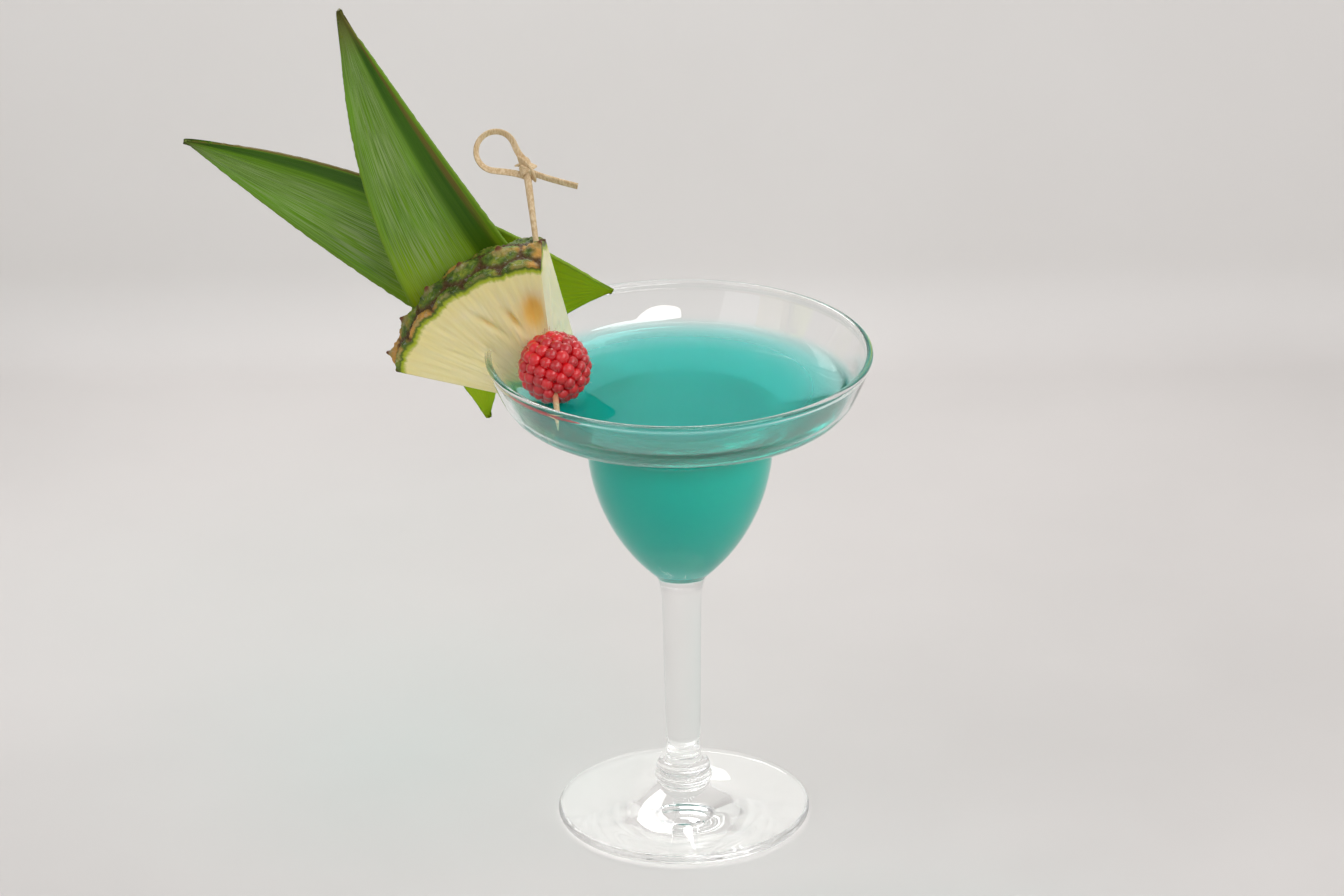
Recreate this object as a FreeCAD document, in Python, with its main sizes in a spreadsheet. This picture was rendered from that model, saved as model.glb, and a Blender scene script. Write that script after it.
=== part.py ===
"""Margarita cocktail with its glass and garnish, as a parametric document.

Millimetres, +Z up. The origin is the centre of the glass foot's resting face. The garnish hangs on
the rim towards -X: a pineapple wedge with two crown leaves behind it, and a raspberry on a knotted
bamboo pick in front of it.
"""
import FreeCAD, Part
import math
import os

import Sketcher

Vector = FreeCAD.Vector

doc = FreeCAD.newDocument("margarita")
sizes = doc.addObject("Spreadsheet::Sheet", "Sizes")

SIZES = {
    # glass: foot, knop and stem
    "foot_radius": 37.2, "foot_edge": 2.8, "foot_rise": 9.7, "foot_neck": 6.6, "foot_sweep": 80.0,
    "knop_groove": 7.7, "knop_low": 3.7, "knop_high": 3.8, "knop_low_swell": 1.27,
    "knop_high_swell": 1.21,
    "collar_radius": 5.5, "collar_height": 0.7, "collar_step": 0.5, "stem_foot": 5.0, "stem_neck": 5.8,
    "stem_length": 50.5, "flare_radius": 7.4, "flare_length": 8.0, "flare_round": 24.0,
    # glass: small lower bowl, wide dish and beaded rim
    "bowl_radius": 27.1, "bowl_depth": 43.6, "bottom_glass": 3.7, "bottom_round": 7.5,
    "wall_run": 5.9, "dish_slope": 24.0, "wall_slope": 67.2, "rim_radius": 56.0,
    "glass_wall": 1.6, "rim_bead": 2.1, "shoulder_round": 12.0, "throat_round": 2.2,
    # drink
    "fill_below_rim": 9.9,
    # pineapple wedge, in the garnish frame
    "slice_radius": 47.8, "slice_narrows": 1.2, "slice_thick": 17.0, "wedge_low": 13.3,
    "wedge_high": 85.8, "back_tip": 6.6,
    "eye_count": 5.0, "eye_round": 12.0, "eye_swell": 1.4, "seat_along": 19.3, "seat_up": 19.7,
    "garnish_turn": 4.0, "garnish_lean": 10.0,
    # crown leaves, in the garnish frame
    "leaf_thick": 1.2, "leaf_gap": 0.15, "channel_radius": 42.0, "leaf_fullness": 0.9,
    "tall_length": 141.2, "tall_turn": 74.5, "tall_along": 22.4, "tall_up": -17.4, "tall_bulge": 11.2,
    "tall_cut_along": 44.2, "tall_cut_across": 27.3, "tall_front_bulge": -1.2,
    "side_length": 132.0, "side_turn": 21.2, "side_along": -14.7, "side_up": 22.8, "side_bulge": 10.5,
    "side_cut_along": 22.5, "side_cut_across": 32.7, "side_front_bulge": 3.5,
    # raspberry
    "berry_ring": 8.9, "core_past_ring": 0.4, "drupelet_radius": 1.85, "drupelet_count": 84.0,
    "berry_gap": 0.05, "berry_up": 20.2, "berry_side": 0.6,
    # knotted bamboo pick
    "pick_back_tilt": 41.2, "pick_side_tilt": 9.0, "pick_radius": 1.0, "pick_top_radius": 1.15,
    "pick_point": 8.0, "pick_below_berry": 23.0, "pick_above_berry": 59.0, "pick_bend": 25.0,
    "strip_thick": 0.8, "strip_width": 2.2, "loop_radius": 5.8, "loop_across": 8.2, "loop_up": 6.0,
    "knot_across": 5.0, "knot_deep": 4.4, "knot_tall": 8.6, "strand_up": 2.15,
    "tail_length": 15.1, "tail_drop": 23.0,
}
for row, (alias, number) in enumerate(SIZES.items(), start=1):
    sizes.set("A%d" % row, alias)
    sizes.set("B%d" % row, str(number))
    sizes.setAlias("B%d" % row, alias)
doc.recompute()


def size(expression):
    """The present value of an expression in the sheet's aliases."""
    return float(sizes.evalExpression(expression))


def bound(expression):
    """The same expression as other objects of the document write it."""
    for alias in sorted(SIZES, key=len, reverse=True):
        expression = expression.replace(alias, "@%d@" % list(SIZES).index(alias))
    for index, alias in enumerate(SIZES):
        expression = expression.replace("@%d@" % index, "Sizes." + alias)
    return expression


def arc_radius(chord, rise):
    """The radius of an arc that rises so far from its chord."""
    return "((%s)^2 / 4 + %s^2) / (2 * abs(%s))" % (chord, rise, rise)


# ---------------------------------------------------------------- sketched outlines

ON_AXIS = 0.01        # nearer than this, an arc's centre is on the axis and turns into a ball
SPLINE_POINTS = 9


def origin_plane(body, role):
    return next(item for item in body.Origin.OriginFeatures if item.Role == role)


def outline(sketch, start, steps, turned=False):
    """Draw a closed outline whose corners and radii are bound to the sheet.

    start and each step's end are (across, up) expressions. A step with a third entry is an arc of
    that radius, and a fourth entry, 1 or -1, says on which side of the step its centre lies:
    1 is to the left of the direction of travel. In a turned outline, an arc whose radius is more
    than its centre's distance from the axis would turn into a ring that crosses itself, which other
    programs misread, so it is drawn as a spline along the arc.
    """
    corners = [start] + [step[:2] for step in steps]
    points = [Vector(size(across), size(up), 0) for across, up in corners]
    geometry = []
    splines = set()
    for index, step in enumerate(steps):
        first, last = points[index], points[index + 1]
        if len(step) == 2:
            geometry.append(Part.LineSegment(first, last))
            continue
        radius, side = size(step[2]), step[3]
        chord = last - first
        half = chord.Length / 2
        inward = Vector(-chord.y, chord.x, 0).normalize() * side
        centre = first + chord / 2 + inward * math.sqrt(max(radius ** 2 - half ** 2, 0.0))
        circle = Part.Circle(centre, Vector(0, 0, 1), radius)
        turn = [math.atan2(point.y - centre.y, point.x - centre.x) for point in (first, last)]
        if side < 0:
            turn.reverse()
        arc = Part.ArcOfCircle(circle, turn[0], turn[1])
        if turned and ON_AXIS < abs(centre.x) < radius:
            along = arc.discretize(SPLINE_POINTS)
            curve = Part.BSplineCurve()
            curve.interpolate(along if side > 0 else along[::-1])
            geometry.append(curve)
            splines.add(index)
        else:
            geometry.append(arc)
    sketch.addGeometry(geometry, False)

    def ends(index):
        flipped = index not in splines and len(steps[index]) == 4 and steps[index][3] < 0
        return (2, 1) if flipped else (1, 2)

    for index, step in enumerate(steps):
        following = (index + 1) % len(steps)
        sketch.addConstraint(Sketcher.Constraint("Coincident", index, ends(index)[1],
                                                 following, ends(following)[0]))
        for kind, expression, axis in (("DistanceX", step[0], -2), ("DistanceY", step[1], -1)):
            if expression == "0":
                sketch.addConstraint(Sketcher.Constraint("PointOnObject", index, ends(index)[1], axis))
                continue
            number = sketch.addConstraint(Sketcher.Constraint(
                kind, -1, 1, index, ends(index)[1], size(expression)))
            sketch.setExpression("Constraints[%d]" % number, bound(expression))
        if len(step) == 4 and index not in splines:
            number = sketch.addConstraint(Sketcher.Constraint("Radius", index, size(step[2])))
            sketch.setExpression("Constraints[%d]" % number, bound(step[2]))


def turned_body(name, start, steps):
    """A body turned from an outline about the vertical axis."""
    body = doc.addObject("PartDesign::Body", name)
    sketch = body.newObject("Sketcher::SketchObject", name + "_outline")
    sketch.AttachmentSupport = [(origin_plane(body, "XZ_Plane"), "")]
    sketch.MapMode = "FlatFace"
    outline(sketch, start, steps, turned=True)
    turned = body.newObject("PartDesign::Revolution", name + "_turned")
    turned.Profile = sketch
    turned.ReferenceAxis = (sketch, ["V_Axis"])
    turned.Angle = 360
    doc.recompute()
    return body


# ---------------------------------------------------------------- glass

KNOP_BASE = "foot_rise"
GROOVE = KNOP_BASE + " + knop_low"
COLLAR = GROOVE + " + knop_high"
LOW_CHORD = "sqrt((knop_groove - foot_neck)^2 + knop_low^2)"
HIGH_CHORD = "sqrt((knop_groove - collar_radius)^2 + knop_high^2)"
STEM_BASE = COLLAR + " + collar_height + collar_step"
STEM_TOP = STEM_BASE + " + stem_length"
BOWL_BASE = STEM_TOP + " + flare_length"
BOWL_TOP = BOWL_BASE + " + bowl_depth"
DISH_CORNER = "(rim_radius - wall_run)"
DISH = "(dish_slope * 1 deg)"
WALL = "(wall_slope * 1 deg)"
SHOULDER = (BOWL_TOP + " + throat_round * cos" + DISH
            + " + (%s - bowl_radius - throat_round * (1 - sin%s)) * tan%s" % (DISH_CORNER, DISH, DISH))
SHOULDER_RUN = "shoulder_round * tan((wall_slope - dish_slope) / 2 * 1 deg)"
RIM = SHOULDER + " + (wall_run - rim_bead / 10) * tan%s + rim_bead * 4 / 5" % WALL
BOWL_ROUND = "((bowl_radius - flare_radius)^2 + bowl_depth^2) / (2 * (bowl_radius - flare_radius))"
INNER_ROUND = "(" + BOWL_ROUND + " - glass_wall)"
FLOOR_HEIGHT = BOWL_BASE + " + bottom_glass"
FLOOR_EDGE = FLOOR_HEIGHT + " + bottom_round"
FLOOR_FALL = "(bowl_depth - bottom_glass - bottom_round)"
FLOOR_RADIUS = "(bowl_radius - %s + sqrt(%s^2 - %s^2))" % (BOWL_ROUND, INNER_ROUND, FLOOR_FALL)
FLOOR_ROUND = arc_radius("2 * " + FLOOR_RADIUS, "bottom_round")


def dish_steps(inset):
    """The throat, the dish's slope and its rounded shoulder, drawn so far inside the outer face."""
    throat = "(throat_round + %s)" % inset
    run_end = [(-1, DISH), (1, WALL)]
    shoulder = [("%s + %d * %s * cos%s - %s * sin%s" % (DISH_CORNER, way, SHOULDER_RUN, slope, inset, slope),
                 "%s + %d * %s * sin%s + %s * cos%s" % (SHOULDER, way, SHOULDER_RUN, slope, inset, slope))
                for way, slope in run_end]
    return [
        ("bowl_radius + throat_round - %s * sin%s" % (throat, DISH),
         "%s + %s * cos%s" % (BOWL_TOP, throat, DISH), throat, -1),
        shoulder[0],
        shoulder[1] + ("(shoulder_round - %s)" % inset, 1),
    ]


outside = turned_body("glass_outside", ("0", "0"), [
    ("foot_radius - foot_edge / 2", "0"),
    ("foot_radius", "foot_edge / 2", "foot_edge / 2", 1),
    ("foot_radius - foot_edge / 2", "foot_edge", "foot_edge / 2", 1),
    ("foot_neck", KNOP_BASE, "foot_sweep", -1),
    ("knop_groove", GROOVE, arc_radius(LOW_CHORD, "knop_low_swell"), 1),
    ("collar_radius", COLLAR, arc_radius(HIGH_CHORD, "knop_high_swell"), 1),
    ("collar_radius", COLLAR + " + collar_height"),
    ("stem_foot", STEM_BASE),
    ("stem_neck", STEM_TOP),
    ("flare_radius", BOWL_BASE, "flare_round", -1),
    ("bowl_radius", BOWL_TOP, BOWL_ROUND, 1),
    *dish_steps("0"),
    ("rim_radius - rim_bead / 10", RIM + " - rim_bead * 4 / 5"),
    ("rim_radius - rim_bead / 2", RIM, "rim_bead / 2", 1),
    ("0", RIM),
    ("0", "0"),
])

cavity = turned_body("bowl_cavity", ("0", FLOOR_HEIGHT), [
    (FLOOR_RADIUS, FLOOR_EDGE, FLOOR_ROUND, 1),
    ("bowl_radius - glass_wall", BOWL_TOP, INNER_ROUND, 1),
    *dish_steps("glass_wall"),
    ("rim_radius - rim_bead * 9 / 10", RIM + " - rim_bead * 4 / 5"),
    ("rim_radius - rim_bead / 2", RIM, "rim_bead / 2", -1),
    ("0", RIM),
    ("0", FLOOR_HEIGHT),
])

glass = doc.addObject("Part::Cut", "glass")
glass.Base = outside
glass.Tool = cavity

# ---------------------------------------------------------------- garnish frame
# X points away from the glass's axis along the slice, Y up the slice and Z through its thickness,
# from the front face to the back. The origin is the wedge's point, and the slit's end sits on the rim.

turn_of_garnish = FreeCAD.Rotation(Vector(0, 0, 1), -size("garnish_turn"))
lean_of_garnish = FreeCAD.Rotation(Vector(1, 0, 0), size("garnish_lean"))
upright_slice = FreeCAD.Rotation(Vector(0, 1, 1), 180)
garnish_rotation = turn_of_garnish * lean_of_garnish * upright_slice
rim_turn = math.radians(size("garnish_turn"))
rim_middle = size("rim_radius - rim_bead / 2")
seat = Vector(-rim_middle * math.cos(rim_turn), rim_middle * math.sin(rim_turn), size(RIM))
seat_in_slice = Vector(size("seat_along"), size("seat_up"), 0)
garnish_frame = FreeCAD.Placement(seat - garnish_rotation.multVec(seat_in_slice), garnish_rotation)


def placed(base, rotation=FreeCAD.Rotation()):
    """A placement given in the garnish frame."""
    return garnish_frame * FreeCAD.Placement(base, rotation)


# ---------------------------------------------------------------- knotted bamboo pick

berry_radius = size("berry_ring + drupelet_radius")
berry_on_pick = Vector(0, size("berry_up"), -berry_radius - size("berry_gap"))
back_tilt = math.radians(size("pick_back_tilt"))
side_tilt = math.radians(size("pick_side_tilt"))
pick_up = Vector(math.sin(side_tilt), math.cos(side_tilt) * math.cos(back_tilt),
                 math.cos(side_tilt) * math.sin(back_tilt))
pick_rotation = FreeCAD.Rotation(Vector(-1, 0, 0), Vector(0, 0, 0), pick_up, "ZXY")
pick_frame = placed(berry_on_pick, pick_rotation)

stem = turned_body("pick_stem", ("0", "-pick_radius"), [
    ("pick_radius", "-pick_radius"),
    ("pick_top_radius", "pick_above_berry"),
    ("0", "pick_above_berry"),
    ("0", "-pick_radius"),
])
stem.Placement = pick_frame

# Inside the berry the pick is bent, so that its point leans further forward.
point = turned_body("pick_tip", ("0", "-pick_below_berry"), [
    ("pick_radius", "pick_point - pick_below_berry"),
    ("pick_radius", "pick_radius"),
    ("0", "pick_radius"),
    ("0", "-pick_below_berry"),
])
bend = FreeCAD.Rotation(Vector(1, 0, 0), -size("pick_bend"))
point.Placement = pick_frame * FreeCAD.Placement(Vector(0, 0, 0), bend)


def knot_shape():
    """The knot with its loop of bent strip and its flat tail, about the knot's own middle."""
    thick, width = size("strip_thick"), size("strip_width")
    centre = Vector(-size("loop_across"), 0, size("loop_up"))
    radius = size("loop_radius")
    # The strip leaves the knot, runs to the loop's circle, goes round it and comes back.
    knot_top, knot_low = Vector(0, 0, size("strand_up")), Vector(0, 0, -size("strand_up"))

    def touch(point, side):
        """Where the straight strand from the knot touches the loop's circle."""
        reach = point - centre
        spread = side * math.acos(radius / reach.Length)
        along = math.atan2(reach.z, reach.x) + spread
        return centre + Vector(math.cos(along), 0, math.sin(along)) * radius

    upper, lower = touch(knot_top, 1), touch(knot_low, -1)
    far = centre + (centre - (upper + lower) / 2).normalize() * radius
    path = Part.Wire([Part.LineSegment(knot_top, upper).toShape(), Part.Arc(upper, far, lower).toShape(),
                      Part.LineSegment(lower, knot_low).toShape()])
    run = (upper - knot_top).normalize()
    across = Vector(0, 1, 0)
    over = run.cross(across)
    corners = [knot_top + over * (a * thick / 2) + across * (b * width / 2)
               for a, b in ((-1, -1), (1, -1), (1, 1), (-1, 1), (-1, -1))]
    loop = path.makePipeShell([Part.makePolygon(corners)], True, False)
    tail = Part.makeBox(size("tail_length"), thick, width, Vector(0, -thick / 2, -width / 2))
    tail.rotate(Vector(0, 0, 0), Vector(0, 1, 0), size("tail_drop"))
    tail.translate(knot_low)
    stretch = FreeCAD.Matrix()
    stretch.scale(size("knot_across") / 2, size("knot_deep") / 2, size("knot_tall") / 2)
    knot = Part.makeSphere(1.0).transformGeometry(stretch)
    return knot.multiFuse([loop, tail]).removeSplitter()


knot = doc.addObject("Part::Feature", "pick_knot")
knot.Shape = knot_shape()
knot.Placement = pick_frame * FreeCAD.Placement(Vector(0, 0, size("pick_above_berry")), FreeCAD.Rotation())

pick = doc.addObject("Part::MultiFuse", "bamboo_pick")
pick.Shapes = [stem, point, knot]

# ---------------------------------------------------------------- raspberry


def berry_shape():
    """Drupelets set round a core in the spiral that seeds follow."""
    count = int(size("drupelet_count"))
    ring, radius = size("berry_ring"), size("drupelet_radius")
    golden = math.pi * (3 - math.sqrt(5))
    drupelets = []
    for number in range(count):
        height = 1 - 2 * (number + 0.5) / count
        reach = math.sqrt(1 - height * height)
        where = Vector(reach * math.cos(golden * number), reach * math.sin(golden * number), height)
        drupelets.append(Part.makeSphere(radius, where * ring))
    return Part.makeSphere(ring + size("core_past_ring")).multiFuse(drupelets)


berry_whole = doc.addObject("Part::Feature", "berry_whole")
berry_whole.Shape = berry_shape().Solids[0]
berry_whole.Placement = placed(berry_on_pick - Vector(size("berry_side"), 0, 0), pick_rotation)

raspberry = doc.addObject("Part::Cut", "raspberry")
raspberry.Base = berry_whole
raspberry.Tool = pick

# ---------------------------------------------------------------- pineapple wedge


def eyes_outline(radius, tip):
    """The steps of a sector whose rind is a row of swollen eyes."""
    count = int(size("eye_count"))
    spread = "(wedge_high - wedge_low) / eye_count"

    def corner(number):
        angle = "(wedge_low + %d * %s) * 1 deg" % (number, spread)
        return "%s * cos(%s)" % (radius, angle), "%s * sin(%s)" % (radius, angle)

    steps = [corner(0)]
    steps += [corner(number) + ("eye_round", 1) for number in range(1, count + 1)]
    return steps + [(tip, "0")]


def wedge_body():
    body = doc.addObject("PartDesign::Body", "wedge_block")
    sections = []
    layers = (("front", "0", "slice_radius", "0"),
              ("middle", "slice_thick / 2", "(slice_radius + eye_swell)", "-back_tip / 2"),
              ("back", "slice_thick", "(slice_radius - slice_narrows)", "-back_tip"))
    for name, depth, radius, tip in layers:
        sketch = body.newObject("Sketcher::SketchObject", "wedge_" + name)
        sketch.AttachmentSupport = [(origin_plane(body, "XY_Plane"), "")]
        sketch.MapMode = "FlatFace"
        sketch.setExpression(".AttachmentOffset.Base.z", bound(depth))
        outline(sketch, (tip, "0"), eyes_outline(radius, tip))
        sections.append(sketch)
    doc.recompute()
    block = body.newObject("PartDesign::AdditiveLoft", "wedge_loft")
    block.Profile = sections[0]
    block.Sections = sections[1:]
    block.Ruled = True
    doc.recompute()
    body.Placement = garnish_frame
    return body


wedge_on_rim = doc.addObject("Part::Cut", "wedge_on_rim")
wedge_on_rim.Base = wedge_body()
wedge_on_rim.Tool = glass
pineapple = doc.addObject("Part::Cut", "pineapple_wedge")
pineapple.Base = wedge_on_rim
pineapple.Tool = pick

# ---------------------------------------------------------------- crown leaves


def leaf(name, key, near_depth, hand):
    """A leaf: its flat outline cut from a long channel, slit where it sits on the rim.

    The leaf's own frame has its base at the origin and its tip along X. The hand, 1 or -1, says on
    which side of that line the rounder margin lies. The margins stand at near_depth behind the
    slice's front face, and the leaf's middle lies further back.
    """
    length, across = key + "_length", key + "_cut_across"
    chord = "sqrt((%s - %s_cut_along)^2 + %s^2)" % (length, key, across)

    front_side = hand if size(key + "_front_bulge") > 0 else -hand
    body = doc.addObject("PartDesign::Body", name + "_outline")
    sketch = body.newObject("Sketcher::SketchObject", name + "_margin")
    sketch.AttachmentSupport = [(origin_plane(body, "XY_Plane"), "")]
    sketch.MapMode = "FlatFace"
    outline(sketch, ("0", "0"), [
        (key + "_cut_along", across if hand < 0 else "-" + across),
        (length, "0", arc_radius(chord, key + "_front_bulge"), front_side),
        ("0", "0", arc_radius(length, key + "_bulge"), hand),
    ])
    plate = body.newObject("PartDesign::Pad", name + "_plate")
    plate.Profile = sketch
    plate.setExpression("Length", bound("channel_radius"))
    doc.recompute()
    turn = FreeCAD.Rotation(Vector(0, 0, 1), size(key + "_turn"))
    base = Vector(size(key + "_along"), size(key + "_up"), near_depth)
    body.Placement = placed(base, turn)

    # The channel runs from the tip to the middle of the leaf's widest part.
    fullness = size(key + "_bulge * leaf_fullness")
    middle = Vector(size(key + "_cut_along"), hand * (fullness - size(across)) / 2, 0)
    tip = Vector(size(length), 0, 0)
    half_width = (fullness + size(across)) / 2
    lift = math.sqrt(size("channel_radius") ** 2 - half_width ** 2)
    run = (tip - middle).normalize()
    bores = []
    for part_name, radius in (("inner", "channel_radius"), ("outer", "channel_radius + leaf_thick")):
        roll = doc.addObject("Part::Cylinder", "%s_%s_roll" % (name, part_name))
        roll.setExpression("Radius", bound(radius))
        roll.setExpression("Height", bound(length + " * 2"))
        start = middle - run * size(length) - Vector(0, 0, lift)
        roll.Placement = body.Placement * FreeCAD.Placement(start, FreeCAD.Rotation(Vector(0, 0, 1), run))
        bores.append(roll)
    channel = doc.addObject("Part::Cut", name + "_channel")
    channel.Base, channel.Tool = bores[1], bores[0]
    blade = doc.addObject("Part::MultiCommon", name + "_blade")
    blade.Shapes = [body, channel]
    slit = doc.addObject("Part::Cut", name)
    slit.Base = blade
    slit.Tool = glass
    return slit


tall_depth = size("slice_thick + leaf_gap")
tall_leaf = leaf("leaf_tall", "tall", tall_depth, -1)
tall_half = size("(tall_bulge * leaf_fullness + tall_cut_across) / 2")
tall_sag = size("channel_radius") - math.sqrt(size("channel_radius") ** 2 - tall_half ** 2)
side_leaf = leaf("leaf_side", "side", tall_depth + tall_sag + size("leaf_thick + leaf_gap"), 1)

# ---------------------------------------------------------------- drink

fill = doc.addObject("Part::Cylinder", "fill_level")
fill.setExpression("Radius", bound("rim_radius"))
fill.setExpression("Height", bound(RIM + " - fill_below_rim"))
drink_whole = doc.addObject("Part::MultiCommon", "drink_whole")
drink_whole.Shapes = [cavity, fill]
in_the_drink = doc.addObject("Part::MultiFuse", "in_the_drink")
in_the_drink.Shapes = [pineapple, raspberry, pick]
drink = doc.addObject("Part::Cut", "drink")
drink.Base = drink_whole
drink.Tool = in_the_drink

# ---------------------------------------------------------------- check and write

NODES = [glass, drink, pineapple, tall_leaf, side_leaf, raspberry, pick]
doc.recompute()
for item in doc.Objects:
    if "Invalid" in item.State or "Error" in item.State:
        raise RuntimeError("%s did not build: %s" % (item.Name, item.State))
os.makedirs("parts", exist_ok=True)
for node in NODES:
    shape = node.Shape
    if shape.isNull() or not shape.isValid() or len(shape.Solids) != 1:
        raise RuntimeError("%s is not one valid solid: %d" % (node.Name, len(shape.Solids)))
for node in NODES:
    node.Shape.exportStep("parts/%s.step" % node.Name)
    print("%-16s volume %9.1f mm3" % (node.Name, node.Shape.Volume))
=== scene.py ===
"""A blue-green margarita in its stemmed glass, with a pineapple and raspberry garnish on the rim.

Metres, +Z up, with the centre of the glass's foot at the origin. Lengths named in mm are turned to
metres where a mesh is made. The garnish hangs towards -X.
"""
import math
import random

import bmesh
import bpy
from mathutils import Matrix, Vector, noise


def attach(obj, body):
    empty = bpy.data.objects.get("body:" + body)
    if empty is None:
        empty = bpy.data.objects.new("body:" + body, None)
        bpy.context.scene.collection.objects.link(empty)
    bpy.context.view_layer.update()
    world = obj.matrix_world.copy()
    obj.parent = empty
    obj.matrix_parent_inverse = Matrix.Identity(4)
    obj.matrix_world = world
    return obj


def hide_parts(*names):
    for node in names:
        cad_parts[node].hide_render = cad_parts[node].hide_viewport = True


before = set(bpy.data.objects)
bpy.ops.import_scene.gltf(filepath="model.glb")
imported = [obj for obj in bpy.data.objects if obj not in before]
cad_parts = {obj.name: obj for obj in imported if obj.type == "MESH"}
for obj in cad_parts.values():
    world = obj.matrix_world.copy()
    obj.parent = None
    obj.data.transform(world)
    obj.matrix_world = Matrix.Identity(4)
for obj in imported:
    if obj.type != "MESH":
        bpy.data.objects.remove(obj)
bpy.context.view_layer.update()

MM = 0.001

# ------------------------------------------------------------------ glass
# A pressed soda-lime glass: a flat foot, a stem with a knop, a small deep bowl and a wide dish with
# a fire-polished bead for a rim. It is one piece, turned from one outline.

RIM_RADIUS, BEAD, WALL_GLASS = 56.0, 2.1, 1.6
FOOT_RADIUS, FOOT_EDGE, FOOT_TOP, FOOT_NECK, FOOT_SWEEP = 37.2, 2.8, 9.7, 6.6, 80.0
GROOVE, GROOVE_RADIUS, KNOP_LOW_ROUND, KNOP_HIGH_ROUND = 13.4, 7.7, 2.1, 2.6
COLLAR, COLLAR_TOP, COLLAR_RADIUS = 17.2, 17.9, 5.5
STEM_FOOT, STEM_TOP, STEM_FOOT_RADIUS, STEM_NECK_RADIUS = 18.4, 68.9, 5.0, 5.8
BOWL_BASE, BOWL_TOP, RIM_TOP = 76.9, 120.5, 147.385
BOWL_RADIUS, FLARE_RADIUS, FLARE_ROUND = 27.1, 7.4, 24.0
FLOOR, FLOOR_EDGE, FLOOR_ROUND = 80.6, (15.2865, 88.1), 19.3285
DISH_SLOPE, WALL_SLOPE = math.radians(24.0), math.radians(67.2)
DISH_CORNER = (50.1, 132.169)     # where the dish's slope and its wall would meet
THROAT_ROUND, SHOULDER_ROUND, WALL_ROUND = 2.2, 12.0, 125.0
TURN_STEPS = 160


def arc(start, end, radius, side, steps):
    """Points after start along an arc to end, whose centre is to the left (1) or right (-1)."""
    start, end = Vector(start), Vector(end)
    chord = end - start
    inward = Vector((-chord.y, chord.x)).normalized() * side
    centre = start + chord / 2 + inward * math.sqrt(max(radius ** 2 - (chord.length / 2) ** 2, 0))
    first = math.atan2(start.y - centre.y, start.x - centre.x)
    turn = math.atan2(end.y - centre.y, end.x - centre.x) - first
    turn = (turn + math.pi) % (2 * math.pi) - math.pi
    return [(centre.x + radius * math.cos(first + turn * n / steps),
             centre.y + radius * math.sin(first + turn * n / steps)) for n in range(1, steps + 1)]


def line(start, end, steps):
    """Points after start along a straight line."""
    return [(start[0] + (end[0] - start[0]) * n / steps, start[1] + (end[1] - start[1]) * n / steps)
            for n in range(1, steps + 1)]


def bowl_wall(inset, from_point, from_radius, top):
    """The outline from the bottom of the small bowl to near the rim, so far inside the outer face."""
    dish = (math.cos(DISH_SLOPE), math.sin(DISH_SLOPE))
    wall = (math.cos(WALL_SLOPE), math.sin(WALL_SLOPE))
    throat = THROAT_ROUND + inset
    throat_end = (BOWL_RADIUS + THROAT_ROUND - throat * dish[1], BOWL_TOP + throat * dish[0])
    run = SHOULDER_ROUND * math.tan((WALL_SLOPE - DISH_SLOPE) / 2)
    out, up = DISH_CORNER
    ease_in = (out - run * dish[0] - inset * dish[1], up - run * dish[1] + inset * dish[0])
    ease_out = (out + run * wall[0] - inset * wall[1], up + run * wall[1] + inset * wall[0])
    bowl_end = (BOWL_RADIUS - inset, BOWL_TOP)
    points = arc(from_point, bowl_end, from_radius, 1, 28)
    points += arc(bowl_end, throat_end, throat, -1, 8)
    points += line(throat_end, ease_in, 6)
    points += arc(ease_in, ease_out, SHOULDER_ROUND - inset, 1, 10)
    return points + arc(ease_out, top, WALL_ROUND - inset, 1, 8)


def spin_outline(bm, outline, unit, steps):
    """Turn an outline about the upright axis into a closed mesh, in which 1 mm is unit long."""
    rim = [bm.verts.new((across * unit, 0, up * unit)) for across, up in outline]
    edges = [bm.edges.new(pair) for pair in zip(rim, rim[1:])]
    bmesh.ops.spin(bm, geom=rim + edges, cent=(0, 0, 0), axis=(0, 0, 1), angle=2 * math.pi,
                   steps=steps, use_merge=True)
    bmesh.ops.remove_doubles(bm, verts=bm.verts, dist=unit / 1000)
    bmesh.ops.recalc_face_normals(bm, faces=bm.faces)


def turned(name, outline):
    """The object turned from an outline in mm."""
    bm = bmesh.new()
    spin_outline(bm, outline, MM, TURN_STEPS)
    return finished(name, bm)


def finished(name, bm):
    """The object made of a mesh that is ready, with rounded shading."""
    mesh = bpy.data.meshes.new(name)
    bm.to_mesh(mesh)
    bm.free()
    mesh.shade_smooth()
    piece = bpy.data.objects.new(name, mesh)
    bpy.context.scene.collection.objects.link(piece)
    return piece


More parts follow.
